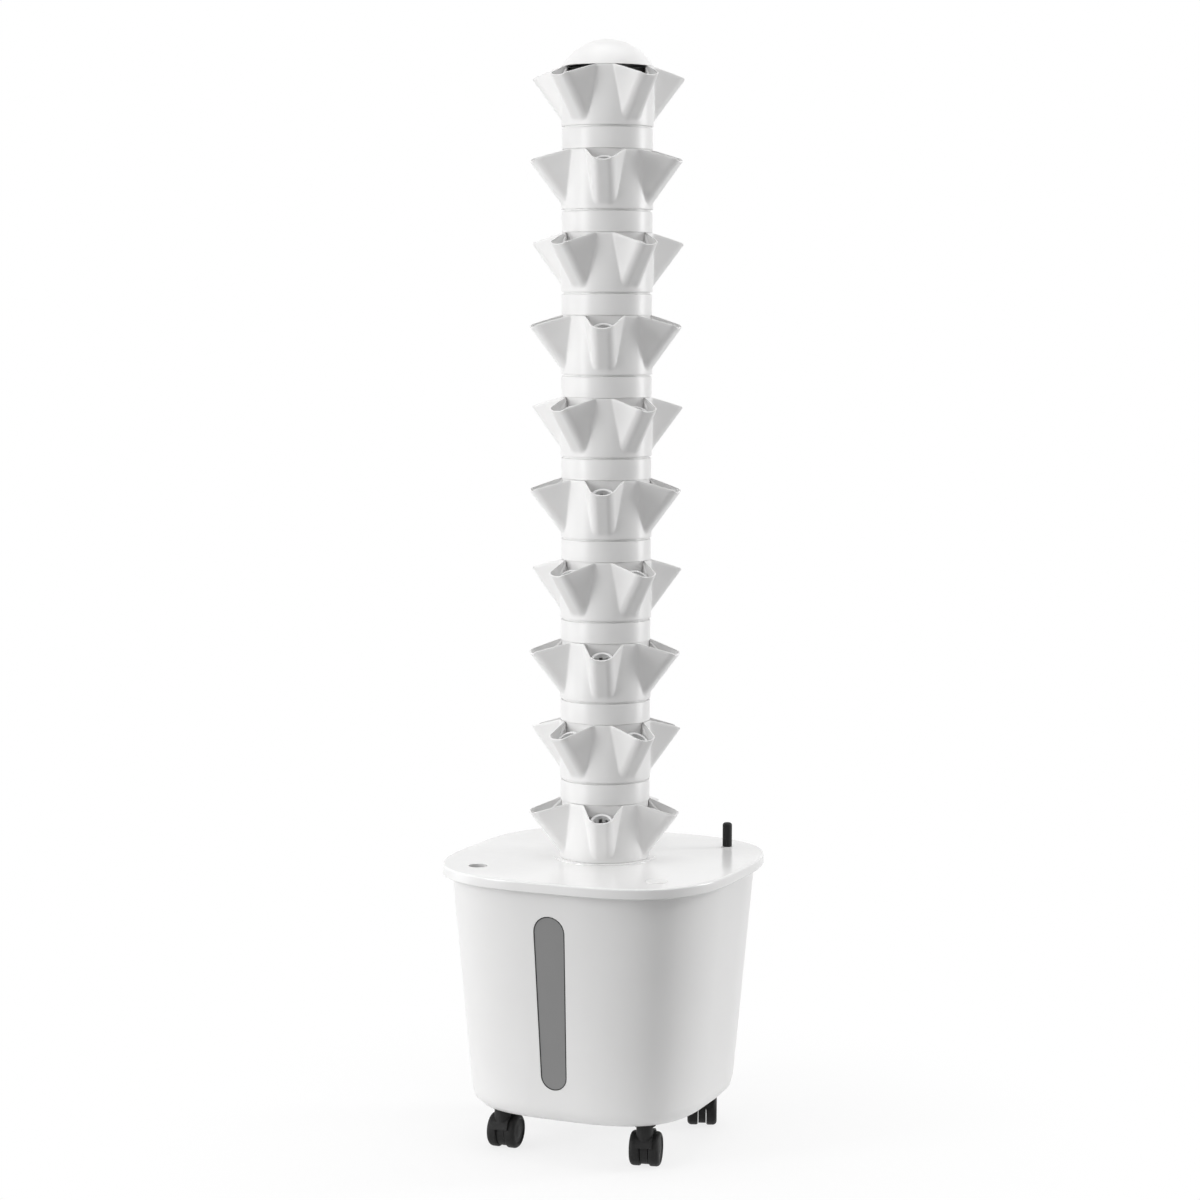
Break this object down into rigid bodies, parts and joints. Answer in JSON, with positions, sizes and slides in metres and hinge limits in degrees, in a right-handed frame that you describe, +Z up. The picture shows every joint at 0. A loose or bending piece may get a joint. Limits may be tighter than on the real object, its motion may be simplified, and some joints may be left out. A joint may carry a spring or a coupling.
{
  "type": "hydroponic planter tower",
  "caption": "Tall vertical hydroponic tower of stacked, turnable planter tiers with lipped pockets and net cups, on a wheeled water tank with a lift-off lid, level window and float gauge.",
  "frame": {"origin": "on the floor under the tower's axis", "axes": "+Z up the tower, the tank's window faces -Y"},
  "size_m": [0.43, 0.43, 1.6002],
  "materials": {
    "white": "satin moulded plastic",
    "cup": "thin moulded plastic",
    "pipe": "extruded plastic",
    "smoked": "smoked translucent plastic",
    "black": "black moulded plastic",
    "grey": "grey moulded plastic",
    "foam": "closed-cell foam",
    "rubber": "soft rubber",
    "steel": "drawn steel"
  },
  "bodies": {
    "tank": {"tank": "white", "level_window": "smoked", "window_gasket": "rubber", "pump_body": "black", "pump_cover": "black", "pump_feet": "rubber", "outlet_adapter": "black", "riser_lower": "pipe", "riser_coupling": "pipe", "riser_upper": "pipe", "castor_fl_stem": "black", "castor_fr_stem": "black", "castor_br_stem": "black", "castor_bl_stem": "black"},
    "rotor": {"pump_rotor": "grey"},
    "lid": {"lid": "white", "gauge_bush": "white"},
    "plug": {"port_plug": "white"},
    "gauge": {"gauge_rod": "white", "gauge_cap": "black", "gauge_float": "foam"},
    "tier_1": {"tier_1": "white", "net_cups_1": "cup"},
    "tier_2": {"tier_2": "white", "net_cups_2": "cup"},
    "tier_3": {"tier_3": "white", "net_cups_3": "cup"},
    "tier_4": {"tier_4": "white", "net_cups_4": "cup"},
    "tier_5": {"tier_5": "white", "net_cups_5": "cup"},
    "tier_6": {"tier_6": "white", "net_cups_6": "cup"},
    "tier_7": {"tier_7": "white", "net_cups_7": "cup"},
    "tier_8": {"tier_8": "white", "net_cups_8": "cup"},
    "tier_9": {"tier_9": "white", "net_cups_9": "cup"},
    "tier_10": {"tier_10": "white", "net_cups_10": "cup", "distributor": "black"},
    "dome": {"dome_cap": "white"},
    "castor_fl": {"castor_fl_housing": "black", "castor_fl_axle": "steel"},
    "wheel_fl_a": {"castor_fl_wheel_a": "black"},
    "wheel_fl_b": {"castor_fl_wheel_b": "black"},
    "castor_fr": {"castor_fr_housing": "black", "castor_fr_axle": "steel"},
    "wheel_fr_a": {"castor_fr_wheel_a": "black"},
    "wheel_fr_b": {"castor_fr_wheel_b": "black"},
    "castor_br": {"castor_br_housing": "black", "castor_br_axle": "steel"},
    "wheel_br_a": {"castor_br_wheel_a": "black"},
    "wheel_br_b": {"castor_br_wheel_b": "black"},
    "castor_bl": {"castor_bl_housing": "black", "castor_bl_axle": "steel"},
    "wheel_bl_a": {"castor_bl_wheel_a": "black"},
    "wheel_bl_b": {"castor_bl_wheel_b": "black"}
  },
  "joints": [
    {"name": "lid_lift", "type": "slide", "parent": "tank", "child": "lid", "axis": [0, 0, 1], "range_m": [0, 0.36]},
    {"name": "dome_lift", "type": "slide", "parent": "tier_10", "child": "dome", "axis": [0, 0, 1], "range_m": [0, 0.06]},
    {"name": "plug_pull", "type": "slide", "parent": "lid", "child": "plug", "axis": [0, 0, 1], "range_m": [0, 0.04]},
    {"name": "gauge_rise", "type": "slide", "parent": "lid", "child": "gauge", "axis": [0, 0, 1], "range_m": [0, 0.105]},
    {"name": "tier_1_turn", "type": "hinge", "parent": "lid", "child": "tier_1", "pos_m": [0, 0, 0.424], "axis": [0, 0, 1], "continuous": true},
    {"name": "tier_2_turn", "type": "hinge", "parent": "tier_1", "child": "tier_2", "pos_m": [0, 0, 0.541], "axis": [0, 0, 1], "continuous": true},
    {"name": "tier_3_turn", "type": "hinge", "parent": "tier_2", "child": "tier_3", "pos_m": [0, 0, 0.658], "axis": [0, 0, 1], "continuous": true},
    {"name": "tier_4_turn", "type": "hinge", "parent": "tier_3", "child": "tier_4", "pos_m": [0, 0, 0.775], "axis": [0, 0, 1], "continuous": true},
    {"name": "tier_5_turn", "type": "hinge", "parent": "tier_4", "child": "tier_5", "pos_m": [0, 0, 0.892], "axis": [0, 0, 1], "continuous": true},
    {"name": "tier_6_turn", "type": "hinge", "parent": "tier_5", "child": "tier_6", "pos_m": [0, 0, 1.009], "axis": [0, 0, 1], "continuous": true},
    {"name": "tier_7_turn", "type": "hinge", "parent": "tier_6", "child": "tier_7", "pos_m": [0, 0, 1.126], "axis": [0, 0, 1], "continuous": true},
    {"name": "tier_8_turn", "type": "hinge", "parent": "tier_7", "child": "tier_8", "pos_m": [0, 0, 1.243], "axis": [0, 0, 1], "continuous": true},
    {"name": "tier_9_turn", "type": "hinge", "parent": "tier_8", "child": "tier_9", "pos_m": [0, 0, 1.36], "axis": [0, 0, 1], "continuous": true},
    {"name": "tier_10_turn", "type": "hinge", "parent": "tier_9", "child": "tier_10", "pos_m": [0, 0, 1.477], "axis": [0, 0, 1], "continuous": true},
    {"name": "rotor_spin", "type": "hinge", "parent": "tank", "child": "rotor", "pos_m": [0, 0, 0.105], "axis": [1, 0, 0], "continuous": true},
    {"name": "castor_fl_swivel", "type": "hinge", "parent": "tank", "child": "castor_fl", "pos_m": [-0.112, -0.112, 0.06], "axis": [0, 0, 1], "continuous": true},
    {"name": "wheel_fl_a_spin", "type": "hinge", "parent": "castor_fl", "child": "wheel_fl_a", "pos_m": [-0.11263, -0.10002, 0.025], "axis": [0.9986, 0.0523, 0], "continuous": true},
    {"name": "wheel_fl_b_spin", "type": "hinge", "parent": "castor_fl", "child": "wheel_fl_b", "pos_m": [-0.11263, -0.10002, 0.025], "axis": [0.9986, 0.0523, 0], "continuous": true},
    {"name": "castor_fr_swivel", "type": "hinge", "parent": "tank", "child": "castor_fr", "pos_m": [0.112, -0.112, 0.06], "axis": [0, 0, 1], "continuous": true},
    {"name": "wheel_fr_a_spin", "type": "hinge", "parent": "castor_fr", "child": "wheel_fr_a", "pos_m": [0.1093, -0.10031, 0.025], "axis": [0.9744, 0.225, 0], "continuous": true},
    {"name": "wheel_fr_b_spin", "type": "hinge", "parent": "castor_fr", "child": "wheel_fr_b", "pos_m": [0.1093, -0.10031, 0.025], "axis": [0.9744, 0.225, 0], "continuous": true},
    {"name": "castor_br_swivel", "type": "hinge", "parent": "tank", "child": "castor_br", "pos_m": [0.112, 0.112, 0.06], "axis": [0, 0, 1], "continuous": true},
    {"name": "wheel_br_a_spin", "type": "hinge", "parent": "castor_br", "child": "wheel_br_a", "pos_m": [0.1077, 0.1232, 0.025], "axis": [0.9336, 0.3584, 0], "continuous": true},
    {"name": "wheel_br_b_spin", "type": "hinge", "parent": "castor_br", "child": "wheel_br_b", "pos_m": [0.1077, 0.1232, 0.025], "axis": [0.9336, 0.3584, 0], "continuous": true},
    {"name": "castor_bl_swivel", "type": "hinge", "parent": "tank", "child": "castor_bl", "pos_m": [-0.112, 0.112, 0.06], "axis": [0, 0, 1], "continuous": true},
    {"name": "wheel_bl_a_spin", "type": "hinge", "parent": "castor_bl", "child": "wheel_bl_a", "pos_m": [-0.11367, 0.12388, 0.025], "axis": [0.9903, 0.1392, 0], "continuous": true},
    {"name": "wheel_bl_b_spin", "type": "hinge", "parent": "castor_bl", "child": "wheel_bl_b", "pos_m": [-0.11367, 0.12388, 0.025], "axis": [0.9903, 0.1392, 0], "continuous": true}
  ]
}
